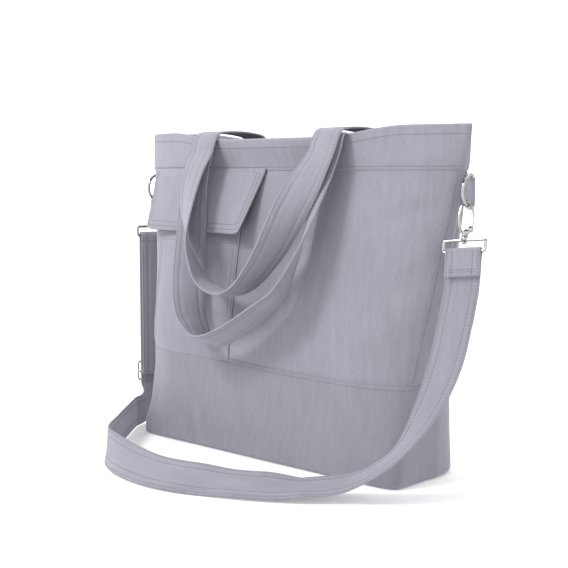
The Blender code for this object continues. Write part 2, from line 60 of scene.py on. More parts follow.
# Height, half width, half depth, and the outline's two exponents
SECTION_STOPS = (
    (0.000, 0.2010, 0.0650, 16.0, 0.07),
    (0.050, 0.2020, 0.0660, 11.0, 0.14),
    (0.107, 0.2055, 0.0650, 7.0, 0.28),
    (0.200, 0.2200, 0.0580, 4.5, 0.42),
    (0.256, 0.2284, 0.0520, 3.6, 0.47),
    (0.300, 0.2350, 0.0440, 3.1, 0.50),
    (0.330, 0.2395, 0.0400, 3.0, 0.52),
    (0.372, 0.2458, 0.0400, 2.4, 0.85),
)
POCKET_LEFT = -190 * MM
POCKET_RIGHT_TOP = -33 * MM
POCKET_RIGHT_BOTTOM = -43 * MM
POCKET_TOP = 262 * MM
FLAP_MIDDLE = -110.5 * MM
FLAP_TOP_HALF = 104.5 * MM
FLAP_BOTTOM_HALF = 93.5 * MM
FLAP_BOTTOM = 255 * MM
FLAP_STAND_OFF = (14 * MM, 4 * MM, 18 * MM)
BAND_WIDTH = 38 * MM
HANDLE_CLOTH = 2.4 * MM
STRAP_CLOTH = 2.0 * MM
FOLD_LENGTH = 26 * MM
BARS = {1: (245 * MM, 0), -1: (-244 * MM, 5 * MM)}
RING_Z = 304.5 * MM
RING_RADIUS = 17 * MM
RING_WIRE = 1.7 * MM
TAB_HEIGHT = 29 * MM
TAB_CLOTH = 1.2 * MM
OVAL_HALF = 7.2 * MM
OVAL_MIDDLE = 19.5 * MM
OVAL_RISE = 16.5 * MM
OVAL_SQUARE = 0.85
HOOK_WIRE = 1.5 * MM
GATE_WIRE = 1.2 * MM
NOSE = math.radians(53)
GATE_TIP = math.radians(57)
HINGE = math.radians(135)
EYE_HALF = 22.5 * MM
EYE_TOP = -2.3 * MM
EYE_BAR = -15.5 * MM
EYE_WIRE = 1.6 * MM
EYE_CORNER = 2.5 * MM
POST = 1.5 * MM
SEAT = OVAL_MIDDLE + OVAL_RISE - HOOK_WIRE - 1.5 * MM - RING_WIRE
SLIDER_Z = 66 * MM
SLIDER_RISE = 12 * MM
SLIDER_HALF = 21.5 * MM
SLIDER_WIRE = 1.2 * MM
LAYER_Y = 3.9 * MM
TAIL_DROP = 8 * MM
STRAP_RISE_END = 14 * MM
STRAP_RISE_REACH = 42 * MM
GAP = 0.3 * MM

# -------- sizes of the looks

CLOTH = 1.4 * MM
LAP = 1.3 * MM  # how far the base and the bands stand over the cloth that they overlap
HEM = 9 * MM  # how far a hidden edge runs under the piece that covers it
SIDE_GROOVE = 1.4 * MM  # how deep the seams down the bag's two sides sink
SEAM_CLIMB = 7 * MM  # how much higher the base seam is at the left
PITCH = 3.6 * MM
STITCH = 2.6 * MM
THREAD = 0.34 * MM
# A stitch's rings: the share of its length, and the height and the width as shares of the thread's
STITCH_RINGS = ((0.0, -0.5, 0.25), (0.16, 0.1, 0.9), (0.5, 0.35, 1.0), (0.84, 0.1, 0.9), (1.0, -0.5, 0.25))
STITCH_SIDES = 6
ROUND_SIDES = 32  # round turned metal parts
TURN_STEPS = 24  # in a half turn of strap round a bar
RING_COLUMNS = 110  # points of a ring round the bag on each face
PANEL_ROWS, BAND_ROWS, FACE_COLUMNS = 110, 26, 190  # points of the sheets on the bag's faces

BAND_STITCHES = (2.2 * MM, 8.2 * MM)  # from the edges of a handle or strap
TAB_STITCHES = (3 * MM,)

# Soft creases in the bag's cloth: side, ends as (x, z) in mm, half width in mm, depth in mm
CREASES = (
    (-1, (228, 292), (138, 262), 9, 1.6),
    (-1, (224, 238), (160, 176), 11, 1.3),
    (-1, (206, 150), (120, 122), 12, 0.8),
    (-1, (-92, 4), (-112, 60), 8, 1.5),
    (-1, (120, 96), (176, 30), 14, 0.8),
    (-1, (-205, 250), (-182, 140), 9, 1.0),
    (1, (-226, 290), (-130, 255), 10, 1.7),
    (1, (-220, 230), (-150, 170), 11, 1.4),
    (1, (224, 290), (140, 250), 10, 1.6),
    (1, (216, 220), (120, 190), 12, 1.3),
    (1, (40, 300), (-30, 180), 16, 1.2),
    (1, (-60, 130), (30, 170), 14, -1.2),
    (1, (90, 10), (120, 80), 9, 1.4),
)


# -------- arithmetic on arrays

def vec(*numbers):
    return np.array(numbers, float)


UP = vec(0, 0, 1)


def unit(v):
    return v / np.maximum(np.linalg.norm(v, axis=-1, keepdims=True), 1e-12)


def ease(t):
    t = np.clip(t, 0.0, 1.0)
    return t * t * (3 - 2 * t)


def mix(a, b, t):
    return a + (b - a) * t


def spline(points, ts):
    """Points at each t, from 0 to 1, of the smooth curve through the points."""
    points = np.asarray(points, float)
    first, last = 2 * points[0] - points[1], 2 * points[-1] - points[-2]
    held = np.vstack([first, points, last])
    at = np.clip(ts, 0, 1) * (len(points) - 1)
    k = np.minimum(at.astype(int), len(points) - 2)
    f = (at - k)[:, None]
    a, b, c, d = held[k], held[k + 1], held[k + 2], held[k + 3]
    square, cube = 2 * a - 5 * b + 4 * c - d, 3 * b - a - 3 * c + d
    return 0.5 * (2 * b + (c - a) * f + square * f ** 2 + cube * f ** 3)


def lengths_along(points):
    steps = np.linalg.norm(np.diff(points, axis=0), axis=1)
    return np.concatenate([[0.0], np.cumsum(steps)])


def resampled(points, others, step):
    """The line and what goes with it at even steps along it."""
    far = lengths_along(points)
    count = max(int(round(far[-1] / step)), 2)
    at = np.linspace(0, far[-1], count + 1)
    pick = lambda values: np.stack([np.interp(at, far, values[:, k]) for k in range(3)], 1)
    return pick(points), pick(others), at


# -------- the bag's form

def smooth_table():
    stops = np.array(SECTION_STOPS)
    heights = np.linspace(-0.02, 0.40, 421)
    table = [np.interp(heights, stops[:, 0], stops[:, k]) for k in range(1, 5)]
    reach = np.arange(-24, 25)
    kernel = np.exp(-(reach / 9.0) ** 2 / 2)
    kernel /= kernel.sum()
    table = [np.convolve(np.pad(row, 24, mode="edge"), kernel, "valid") for row in table]
    return heights, table


SECTION_HEIGHTS, SECTION_TABLE = smooth_table()


def section(z):
    return [np.interp(z, SECTION_HEIGHTS, row) for row in SECTION_TABLE]


def outline(t, z, side):
    """Points on the bag's plain form, a share t of the way from the middle to a side seam."""
    half, depth, power, root = section(z)
    if side > 0:
        depth = depth * BACK_DEPTH
        root = np.maximum(root, SOFTEST_BACK)
    stand = np.maximum(1 - np.minimum(np.abs(t), 1.0) ** power, 0.0) ** root
    return np.stack([half * t, side * depth * stand, z + 0 * t], -1)


def rim(t):
    return HEIGHT - 1.5 * MM + EAR_RISE * ease((np.abs(t) - 0.3) / 0.45)


WAVES = np.random.default_rng(7).uniform(size=(16, 4))


def undulation(x, z, side):
    """Slow unevenness of slack cloth, from -1 to 1."""
    total = 0
    for way, size, phase, weight in WAVES:
        angle = math.pi * way
        turns = mix(2.5, 9.0, size) * 2 * math.pi
        along = x * math.cos(angle) + z * math.sin(angle)
        total = total + (0.4 + weight) * np.sin(turns * along + 2 * math.pi * (phase + 0.31 * side))
    return total / 5


def relief(t, z, side):
    """How far the slack cloth stands out from the plain form, in metres."""
    half = section(z)[0]
    x = half * t
    from_side = half * (1 - np.abs(t))
    middle = ease(from_side / 0.03)
    standing = mix(0.25, 1.0, ease(z / 0.05))
    out = 1.3 * MM * undulation(x, z, side) * middle * standing
    for face, a, b, wide, deep in CREASES:
        if face != side:
            continue
        a, b = np.array(a) * MM, np.array(b) * MM
        run = b - a
        along = ((x - a[0]) * run[0] + (z - a[1]) * run[1]) / (run @ run)
        away = ((x - a[0]) * run[1] - (z - a[1]) * run[0]) / math.hypot(*run)
        ends = ease((along + 0.25) / 0.5) * ease((1.25 - along) / 0.6)
        shape = np.exp(-(away / (wide * MM)) ** 2) - 0.45 * np.exp(-((away / (wide * MM)) - 1.9) ** 2)
        out = out - deep * MM * shape * ends
    # the lower left corner is drawn in above the floor
    corner = ease((z - 0.014) / 0.035) * ease((0.135 - z) / 0.055) * ease((-t - 0.70) / 0.2)
    out = out - 5.5 * MM * corner
    # the side seams pull in, most of all half way up
    pinch = ease((z - 0.11) / 0.06) * ease((0.30 - z) / 0.06)
    out = out - 2.2 * MM * pinch * np.exp(-(from_side / 0.016) ** 2)
    out = out - 0.9 * MM * np.exp(-(from_side / 0.0035) ** 2)
    # the band leans out in the middle of each face
    lean = mix(-3.0, 7.5, ease((z - BAND_SEAM) / (HEIGHT - BAND_SEAM))) * MM
    near = ease((0.12 - np.abs(x)) / 0.05)
    out = out + near * np.where(z > BAND_SEAM, lean, -3.0 * MM * np.exp(-((BAND_SEAM - z) / 0.022) ** 2))
    # the cloth is drawn in along its seams
    for seam in (base_seam(t), BAND_SEAM):
        out = out - 0.9 * MM * np.exp(-((z - seam) / 0.005) ** 2)
    return out


def skin(t, z, side, out):
    """Points a distance out from the bag's uneven surface."""
    t, z = np.broadcast_arrays(np.asarray(t, float), np.asarray(z, float))
    step, rise = 2e-3, 0.5 * MM
    low, high = np.clip(t - step, -1, 1), np.clip(t + step, -1, 1)
    across = outline(high, z, side) - outline(low, z, side)
    upward = outline(t, z + rise, side) - outline(t, z - rise, side)
    normal = unit(np.cross(across, upward) * -side)
    outward = np.stack([np.sign(t), 0 * t, 0 * t], -1)
    near = ease((np.abs(t) - 0.985) / 0.015)[..., None]
    normal = unit(mix(normal, outward, near))
    surface = outline(t, z, side)
    seam = SIDE_GROOVE * np.exp(-(surface[..., 1] / (2.5 * MM)) ** 2) * ease((np.abs(t) - 0.9) / 0.06)
    return surface + normal * (relief(t, z, side) + out - seam)[..., None]


def base_seam(t):
    """The height of the seam above the base piece, which climbs a little towards the left."""
    return BASE_SEAM + SEAM_CLIMB * ease(0.45 - t)


def share(u):
    return np.sin(math.pi / 2 * (2 * u - 1))


# -------- meshes

def add(name, points, faces, look, body, replaces=(), uvs=None):
    """A new object of the mesh, riding a CAD body, or with no parent where body is None."""
    mesh = bpy.data.meshes.new(name)
    mesh.from_pydata(np.asarray(points, float).tolist(), [], [list(map(int, f)) for f in faces])
    mesh.update()
    if uvs is not None:
        layer = mesh.uv_layers.new(name="UVMap")
        index = np.empty(len(mesh.loops), int)
        mesh.loops.foreach_get("vertex_index", index)
        layer.data.foreach_set("uv", np.asarray(uvs, np.float32)[index].ravel())
    mesh.shade_smooth()
    mesh.materials.append(look)
    piece = bpy.data.objects.new(name, mesh)
    bpy.context.scene.collection.objects.link(piece)
    if body:
        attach(piece, body)
    if replaces:
        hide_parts(*replaces)
    return piece


def grid_faces(rows, columns, cyclic=False):
    """Quads of a grid of rows by columns of points."""
    j, i = np.meshgrid(np.arange(rows - 1), np.arange(columns if cyclic else columns - 1), indexing="ij")
    i, j = i.ravel(), j.ravel()
    k = (i + 1) % columns
    low, high = j * columns, (j + 1) * columns
    return np.stack([low + i, low + k, high + k, high + i], 1)


def round_faces(rings, sides, cyclic=False):
    """Faces of a stack of rings of points, which is capped, or joins its own start where it's cyclic."""
    faces = grid_faces(rings, sides, cyclic=True).tolist()
    last = (rings - 1) * sides
    if cyclic:
        return faces + [[last + i, last + (i + 1) % sides, (i + 1) % sides, i] for i in range(sides)]
    return faces + [list(range(sides))[::-1], [last + i for i in range(sides)]]


def full_turn(sides):
    return np.linspace(0, 2 * math.pi, sides, endpoint=False)


def cloth(outer, inner):
    """Points, faces and UVs of a sheet with a rounded edge, between two grids of points."""
    rows, columns = outer.shape[:2]
    count = rows * columns
    along = np.zeros((rows, columns))
    along[:, 1:] = np.cumsum(np.linalg.norm(np.diff(outer, axis=1), axis=2), 1)
    along -= along[:, columns // 2:columns // 2 + 1]
    upward = np.zeros((rows, columns))
    upward[1:] = np.cumsum(np.linalg.norm(np.diff(outer, axis=0), axis=2), 0)
    upward += outer[0, columns // 2, 2]
    uv = np.stack([along, upward], -1).reshape(-1, 2)
    index = np.arange(count).reshape(rows, columns)
    ids = np.concatenate([index[0], index[1:, -1], index[-1, -2::-1], index[-2:0:-1, 0]])
    inward = index[1:-1, 1:-1][
        np.clip(ids // columns - 1, 0, rows - 3), np.clip(ids % columns - 1, 0, columns - 3)
    ]
    flat_outer, flat_inner = outer.reshape(-1, 3), inner.reshape(-1, 3)
    thickness = np.linalg.norm(flat_outer[ids] - flat_inner[ids], axis=1, keepdims=True)
    bulge = unit(flat_outer[ids] - flat_outer[inward]) * thickness * 0.5
    middle = (flat_outer[ids] + flat_inner[ids]) / 2 + bulge
    points = np.vstack([flat_outer, flat_inner, middle])
    faces = [grid_faces(rows, columns), grid_faces(rows, columns)[:, ::-1] + count]
    here = np.arange(len(ids))
    there = (here + 1) % len(ids)
    ring = 2 * count
    faces.append(np.stack([ids[there], ids[here], ring + here, ring + there], 1))
    faces.append(np.stack([ring + there, ring + here, count + ids[here], count + ids[there]], 1))
    return points, np.vstack(faces), np.vstack([uv, uv, uv[ids]])


def faces_out(points, faces):
    """The faces, turned round if they point inwards. A band's flat ends are too small to count."""
    quads = np.array([face for face in faces if len(face) == 4])
    away = points - points.mean(0)
    volume = 0.0
    for corners in ([0, 1, 2], [0, 2, 3]):
        p = away[quads[:, corners]]
        volume += np.einsum("ij,ij->i", p[:, 0], np.cross(p[:, 1], p[:, 2])).sum()
    return faces if volume > 0 else [face[::-1] for face in faces]


def sheet_piece(name, outer, inner, replaced):
    points, faces, uvs = cloth(outer, inner)
    faces = faces_out(points, faces)
    return add(name, points, faces, LOOKS["canvas"], "bag", [replaced], uvs)


def tube(points, radius, sides=16, cyclic=False):
    """A round wire along the points, with rounded ends: points and faces."""
    points = np.asarray(points, float)
    if cyclic:
        ahead = unit(np.roll(points, -1, 0) - np.roll(points, 1, 0))
    else:
        ahead = unit(np.gradient(points, axis=0))
    across = np.zeros_like(points)
    start = UP if abs(ahead[0][2]) < 0.8 else vec(0, 1, 0)
    across[0] = unit(np.cross(ahead[0], start))
    for i in range(1, len(points)):
        across[i] = unit(across[i - 1] - ahead[i] * (across[i - 1] @ ahead[i]))
    beside = np.cross(ahead, across)
    if cyclic:  # spreads the twist that is left over round the loop
        last = unit(across[-1] - ahead[0] * (across[-1] @ ahead[0]))
        left = math.atan2(last @ beside[0], last @ across[0])
        turn = (-left * np.arange(len(points)) / len(points))[:, None]
        across, beside = (
            across * np.cos(turn) + beside * np.sin(turn),
            beside * np.cos(turn) - across * np.sin(turn),
        )
    radii = np.full(len(points), radius)
    if not cyclic:
        bend = np.radians([80, 55, 30])
        first = points[0] - ahead[0] * radius * np.sin(bend)[:, None]
        final = points[-1] + ahead[-1] * radius * np.sin(bend)[::-1, None]
        points = np.vstack([first, points, final])
        radii = np.concatenate([radius * np.cos(bend), radii, radius * np.cos(bend)[::-1]])
        across = np.vstack([across[:1]] * 3 + [across] + [across[-1:]] * 3)
        beside = np.vstack([beside[:1]] * 3 + [beside] + [beside[-1:]] * 3)
    turn = full_turn(sides)
    spokes = across[:, None] * np.cos(turn)[None, :, None] + beside[:, None] * np.sin(turn)[None, :, None]
    rings = points[:, None] + spokes * radii[:, None, None]
    return rings.reshape(-1, 3), round_faces(len(points), sides, cyclic)


def turned(profile, start, axis):
    """A shape turned round an axis: profile is (radius, distance along the axis) from end to end."""
    axis = unit(np.asarray(axis, float))
    across = unit(np.cross(axis, UP if abs(axis[2]) < 0.9 else vec(1, 0, 0)))
    beside = np.cross(axis, across)
    turn = full_turn(ROUND_SIDES)
    spokes = across * np.cos(turn)[:, None] + beside * np.sin(turn)[:, None]
    rings = np.array([np.asarray(start) + axis * far + spokes * radius for radius, far in profile])
    return rings.reshape(-1, 3), round_faces(len(profile), ROUND_SIDES)


def barrel(radius, start, end, round_off=0.25 * MM):
    """A round bar with broken edges between two points."""
    start, end = np.asarray(start, float), np.asarray(end, float)
    far = np.linalg.norm(end - start)
    r = min(round_off, radius * 0.6, far * 0.4)
    profile = [(radius - r, 0), (radius - 0.3 * r, 0.3 * r), (radius, r)]
    profile += [(radius, far - r), (radius - 0.3 * r, far - 0.3 * r), (radius - r, far)]
    return turned(profile, start, end - start)


def placed(shapes, matrix):
    """Several shapes as one, moved into place."""
    points, faces, count = [], [], 0
    turn, move = matrix
    for p, f in shapes:
        points.append(p @ turn.T + move)
        faces += [[k + count for k in face] for face in f]
        count += len(p)
    return np.vstack(points), faces


def stitches(name, rows, body, pitch=PITCH, length=STITCH, radius=THREAD):
    """Rows of stitches on cloth. A row is its points and the cloth's outward direction at each."""
    starts, ends, normals = [], [], []
    for points, outward in rows:
        line, face, _ = resampled(points, outward, 0.9 * MM)
        far = lengths_along(line)
        for at in np.arange(pitch / 2, far[-1] - length, pitch):
            pick = lambda values, d: np.array([np.interp(d, far, values[:, k]) for k in range(3)])
            starts.append(pick(line, at))
            ends.append(pick(line, at + length))
            normals.append(pick(face, at + length / 2))
    starts, ends, normals = np.array(starts), np.array(ends), unit(np.array(normals))
    ahead = unit(ends - starts)
    beside = unit(np.cross(ahead, normals))
    rings = []
    for f, h, w in STITCH_RINGS:
        middle = mix(starts, ends, f) + normals * radius * h
        for a in full_turn(STITCH_SIDES):
            rings.append(middle + (beside * math.cos(a) + normals * math.sin(a)) * radius * w)
    points = np.stack(rings, 1)
    faces = round_faces(len(STITCH_RINGS), STITCH_SIDES)
    all_faces = []
    for n in range(len(points)):
        shift = n * points.shape[1]
        all_faces += [[k + shift for k in face] for face in faces]
    return add(name, points.reshape(-1, 3), all_faces, LOOKS["thread"], body)


# -------- materials

def shader_of(name):
    made = bpy.data.materials.new(name)
    made.use_nodes = True
    return made, made.node_tree, made.node_tree.nodes["Principled BSDF"]


def node(tree, kind, **settings):
    made = tree.nodes.new(kind)
    for key, value in settings.items():
        if key in made.inputs:
            made.inputs[key].default_value = value
        else:
            setattr(made, key, value)
    return made


def fill(made, values):
    """Sets a node's inputs by their names."""
    for key, value in values.items():
        made.inputs[key].default_value = value


def canvas_look(name, colour, weave=1.0, fuzz=0.35):
    """Cotton canvas: a twill rib, slubs along the yarns and slow unevenness of the dye."""
    made, tree, shader = shader_of(name)
    link = tree.links.new
    uv = node(tree, "ShaderNodeTexCoord").outputs["UV"]
    solid = node(tree, "ShaderNodeTexCoord").outputs["Object"]

    def turned_uv(degrees, scale):
        place = node(tree, "ShaderNodeMapping")
        fill(place, {"Rotation": (0, 0, math.radians(degrees)), "Scale": scale})
        link(uv, place.inputs["Vector"])
        return place.outputs["Vector"]

    rib = node(tree, "ShaderNodeTexWave", wave_type="BANDS", bands_direction="X", Scale=1.0)
    fill(rib, {"Distortion": 0.8, "Detail": 2.0, "Detail Scale": 2.0})
    link(turned_uv(63, (330, 330, 330)), rib.inputs["Vector"])
    rib = rib.outputs["Fac"]

    def noise(place, scale, detail, roughness):
        made = node(tree, "ShaderNodeTexNoise", Scale=scale, Detail=detail, Roughness=roughness)
        link(place, made.inputs["Vector"])
        return made.outputs["Fac"]

    warp = noise(turned_uv(0, (1500, 120, 1)), 1.0, 3.0, 0.6)
    weft = noise(turned_uv(0, (110, 1500, 1)), 1.0, 3.0, 0.6)
    streak = noise(turned_uv(63, (170, 22, 1)), 1.0, 2.0, 0.5)
    dye = noise(solid, 14.0, 4.0, 0.55)

    def total(*terms):
        """The sum of values, each times its weight."""
        result = None
        for value, weight in terms:
            times = node(tree, "ShaderNodeMath", operation="MULTIPLY_ADD")
            link(value, times.inputs[0])
            times.inputs[1].default_value = weight
            times.inputs[2].default_value = -0.5 * weight
            if result is None:
                result = times.outputs[0]
                continue
            plus = node(tree, "ShaderNodeMath", operation="ADD")
            link(result, plus.inputs[0])
            link(times.outputs[0], plus.inputs[1])
            result = plus.outputs[0]
        return result

    tone = total(
        (rib, 0.16 * weave), (warp, 0.34 * weave), (weft, 0.34 * weave), (streak, 0.26 * weave), (dye, 0.20)
    )
    bright = node(tree, "ShaderNodeMath", operation="ADD")
    link(tone, bright.inputs[0])
    bright.inputs[1].default_value = 1.0
    tint = node(tree, "ShaderNodeVectorMath", operation="SCALE")
    tint.inputs[0].default_value = colour
    link(bright.outputs[0], tint.inputs["Scale"])
    link(tint.outputs[0], shader.inputs["Base Color"])
    height = total((rib, 0.6), (warp, 0.5), (weft, 0.5))
    bump = node(tree, "ShaderNodeBump", Strength=0.55 * weave, Distance=0.25 * MM)
    link(height, bump.inputs["Height"])
    link(bump.outputs["Normal"], shader.inputs["Normal"])
    fill(shader, {
        "Roughness": 0.93,
        "Specular IOR Level": 0.25,
        "Sheen Weight": fuzz,
        "Sheen Roughness": 0.6,
        "Sheen Tint": (0.85, 0.85, 0.95, 1),
    })
    return made


def thread_look(name, colour):
    """Spun sewing thread, with its twist as a fine bump."""
    made, tree, shader = shader_of(name)
    link = tree.links.new
    place = node(tree, "ShaderNodeTexCoord").outputs["Object"]
    twist = node(tree, "ShaderNodeTexNoise", Scale=2200.0, Detail=2.0)
    link(place, twist.inputs["Vector"])
    bump = node(tree, "ShaderNodeBump", Strength=0.4, Distance=0.1 * MM)
    link(twist.outputs["Fac"], bump.inputs["Height"])
    link(bump.outputs["Normal"], shader.inputs["Normal"])
    fill(shader, {"Base Color": (*colour, 1), "Roughness": 0.7, "Sheen Weight": 0.2})
    return made


def metal_look(name, colour, roughness, scratches):
    """Plated metal with faint handling marks."""
    made, tree, shader = shader_of(name)
    link = tree.links.new
    place = node(tree, "ShaderNodeTexCoord").outputs["Object"]
    marks = node(tree, "ShaderNodeTexNoise", Scale=420.0, Detail=5.0, Roughness=0.65)
    link(place, marks.inputs["Vector"])
    spread = node(tree, "ShaderNodeMapRange")
    fill(spread, {"To Min": roughness - scratches, "To Max": roughness + scratches})
    link(marks.outputs["Fac"], spread.inputs["Value"])
    link(spread.outputs["Result"], shader.inputs["Roughness"])
    bump = node(tree, "ShaderNodeBump", Strength=0.08, Distance=0.05 * MM)
    link(marks.outputs["Fac"], bump.inputs["Height"])
    link(bump.outputs["Normal"], shader.inputs["Normal"])
    fill(shader, {"Base Color": (*colour, 1), "Metallic": 1.0})
    return made


CANVAS_COLOUR = (0.214, 0.213, 0.247)
LOOKS = {
    "canvas": canvas_look("canvas_twill", CANVAS_COLOUR),
    # The base's copy of the canvas is 0.92 as bright: painted shade, which holds down the light that the
    # white floor throws up onto the base
    "base": canvas_look("canvas_base", tuple(0.92 * c for c in CANVAS_COLOUR)),
    "webbing": canvas_look("canvas_straps", tuple(1.02 * c for c in CANVAS_COLOUR), 0.9),
    "lining": canvas_look("lining_cloth", (0.28, 0.276, 0.315), 0.5, 0.1),
    # The thread's colour is its own dark tone made darker still: painted shade, standing in for the
    # shadowed groove that the stitches pull into the cloth
    "thread": thread_look("sewing_thread", (0.095, 0.093, 0.115)),
    # The plating is darker than real nickel: painted reflection, standing in for the dark room round the
    # bag that the metal would mirror, so that it reads mid-grey against the white floor
    "nickel": metal_look("nickel_plate", (0.40, 0.385, 0.365), 0.16, 0.05),
    "steel": metal_look("steel_pins", (0.62, 0.62, 0.62), 0.3, 0.06),
}


# -------- the bag's cloth

def bag_grid(side, bottom, top, rows, out):
    """A grid of points on one face of the bag, from the level bottom(t) to top(t)."""
    u = np.linspace(0, 1, FACE_COLUMNS)[None, :]
    v = np.linspace(0, 1, rows)[:, None]
    t = share(u) + 0 * v
    z = mix(bottom(t), top(t), v)
    return skin(t, z, side, out)


def make_faces():
    """The front and back, each with a panel and the hemmed band above it."""
    for side, label in ((-1, "front"), (1, "back")):
        low = lambda t: base_seam(t) - HEM
        high = lambda t: BAND_SEAM + HEM + 0 * t
        grids = [bag_grid(side, low, high, PANEL_ROWS, out) for out in (0.0, -CLOTH)]
        panel = sheet_piece(f"{label}_panel_cloth", *grids, f"{label}_panel")
        seam = lambda t: BAND_SEAM + 0 * t
        grids = [bag_grid(side, seam, rim, BAND_ROWS, out) for out in (LAP, LAP - 2 * CLOTH)]
        top = sheet_piece(f"{label}_band_cloth", *grids, f"{label}_top_band")


def ring_of(z, out):
    """A ring of points round the bag, anticlockwise from above, out from the cloth at the height z."""
    rows = []
    for side in (-1, 1):
        t = share(np.linspace(0, 1, RING_COLUMNS, endpoint=False)) * -side
        level = z(t) if callable(z) else z + 0 * t
        rows.append(skin(t, level, side, out))
    return np.vstack(rows)


def tub(name, rings, look, replaces):
    """A closed cup of cloth: rings of points, down its outside and then up its inside."""
    rings = np.array(rings)
    rows, columns = rings.shape[:2]
    around = np.zeros((rows, columns))
    around[:, 1:] = np.cumsum(np.linalg.norm(np.diff(rings, axis=1), axis=2), 1)
    downward = np.zeros((rows, columns))
    downward[1:] = np.cumsum(np.linalg.norm(np.diff(rings.mean(1), axis=0), axis=1), 0)[:, None]
    faces = np.array(round_faces(rows, columns, cyclic=True))
    uvs = np.stack([around, BASE_SEAM - downward], -1).reshape(-1, 2)
    points = rings.reshape(-1, 3)
    return add(name, points, faces_out(points, faces), look, "bag", replaces, uvs)


def floor_rings(ring, height, count):
    """Rings that close a cup's bottom, from a ring inwards."""
    centre = ring.mean(0)
    made = []
    for share_left in np.linspace(1, 0.02, count)[1:]:
        inner = centre + (ring - centre) * share_left
        inner[:, 2] = height
        made.append(inner)
    return made


def make_base():
    """The base piece: a shallow tray with rounded lower edges, whose top edge laps over the panels."""
    edge = 6 * MM
    levels = [lambda t, v=v: mix(edge, base_seam(t), v) for v in np.linspace(1, 0, 42)]
    outer = [ring_of(z, LAP) for z in levels]
    for turn in np.radians([18, 36, 54, 72]):
        inset = 7 * MM * (1 - math.cos(turn))
        outer.append(ring_of(edge * (1 - math.sin(turn)) + 0.1 * MM, LAP - inset))
    for ring in outer:
        ring[:, 2] = np.maximum(ring[:, 2], 0.1 * MM)
    outer += floor_rings(outer[-1], 0.1 * MM, 8)
    thick = CLOTH + 0.4 * MM
    inner = [ring_of(z, LAP - thick) for z in levels[:-4]]
    inner += floor_rings(inner[-1], 3 * MM, 3)
    top = (outer[0] + inner[0]) / 2 + vec(0, 0, 0.6 * MM)
    base = tub("base_cloth", [top] + outer + inner[::-1], LOOKS["base"], ["base_panel"])


def make_lining():
    """The lining, which hangs inside the bag from the rim."""
    inset = 4.2 * MM
    thick = 0.8 * MM
    levels = [lambda t, v=v: mix(6 * MM, rim(t) - 1.5 * MM, v) for v in np.linspace(1, 0, 46)]
    outer = [ring_of(z, -inset) for z in levels]
    inner = [ring_of(z, -inset - thick) for z in levels]
    outer += floor_rings(outer[-1], 4 * MM, 4)
    inner += floor_rings(inner[-1], 4.8 * MM, 4)
    lining = tub("lining_cloth", outer + inner[::-1], LOOKS["lining"], ["lining"])


def front_point(x, z, out):
    """Points on the front face, out from the cloth, by their real distance from the middle."""
    x, z = np.broadcast_arrays(np.asarray(x, float), np.asarray(z, float))
    return skin(x / section(z)[0], z, -1, out)


def make_pocket():
    """The patch pocket, with a deep hem along its mouth."""

    def patch(u, v, out):
        middle = (POCKET_LEFT + POCKET_RIGHT_BOTTOM) / 2
        z = mix(base_seam(middle / section(BASE_SEAM)[0]) - HEM / 2, POCKET_TOP, v)
        right = mix(POCKET_RIGHT_BOTTOM, POCKET_RIGHT_TOP, v)
        bowed = 1.2 * MM * ease(4 * u) * ease(4 * (1 - u)) * ease(v * 1.4)
        return front_point(mix(POCKET_LEFT, right, u), z, out + bowed)

    u, v = np.linspace(0, 1, 80)[None, :], np.linspace(0, 1, 90)[:, None]
    hem = 0.5 * MM * ease((v - 0.86) / 0.02)
    outer = patch(u + 0 * v, v + 0 * u, 1.4 * MM + hem)
    inner = patch(u + 0 * v, v + 0 * u, 0.1 * MM + 0 * hem)
    pocket = sheet_piece("pocket_cloth", outer, inner, "pocket_patch")

    def sewn(u, v):
        return patch(u, v, 1.4 * MM), unit(patch(u, v, 3 * MM) - patch(u, v, 1 * MM))

    down = np.linspace(0.995, 0.075, 90)
    flat = np.linspace(0, 1, 70)
    rows = [sewn(0 * down + s, down) for s in (0.016, 0.984, 0.052, 0.948)]
    across = sewn(flat, 0 * flat + 0.875)
    rows.append((across[0] + across[1] * 0.3 * MM, across[1]))
    stitches("pocket_stitches", rows, "bag")


def flap_point(u, v, out):
    z = mix(FLAP_BOTTOM, BAND_SEAM + 1 * MM, v)
    half = mix(FLAP_BOTTOM_HALF, FLAP_TOP_HALF, v)
    left, middle, right = FLAP_STAND_OFF
    stand_off = middle + (left - middle) * (1 - u) ** 3 + (right - middle) * u ** 3
    stand_off = stand_off * np.maximum(1 - v, 0) ** 1.2
    wave = 0.8 * MM * np.sin(7.5 * u + 0.6) * (1 - v)
    # the lower corners are cut round
    corner = 0.10
    near = np.maximum(np.maximum(corner - u, u - (1 - corner)) / corner, 0)
    lift = (1 - np.sqrt(np.maximum(1 - near ** 2, 0))) * 3.0 * MM * (1 - v) ** 6
    points = front_point(FLAP_MIDDLE + half * (2 * u - 1), z + lift, 1.0 * MM + out)
    points[..., 1] -= stand_off + wave
    return points


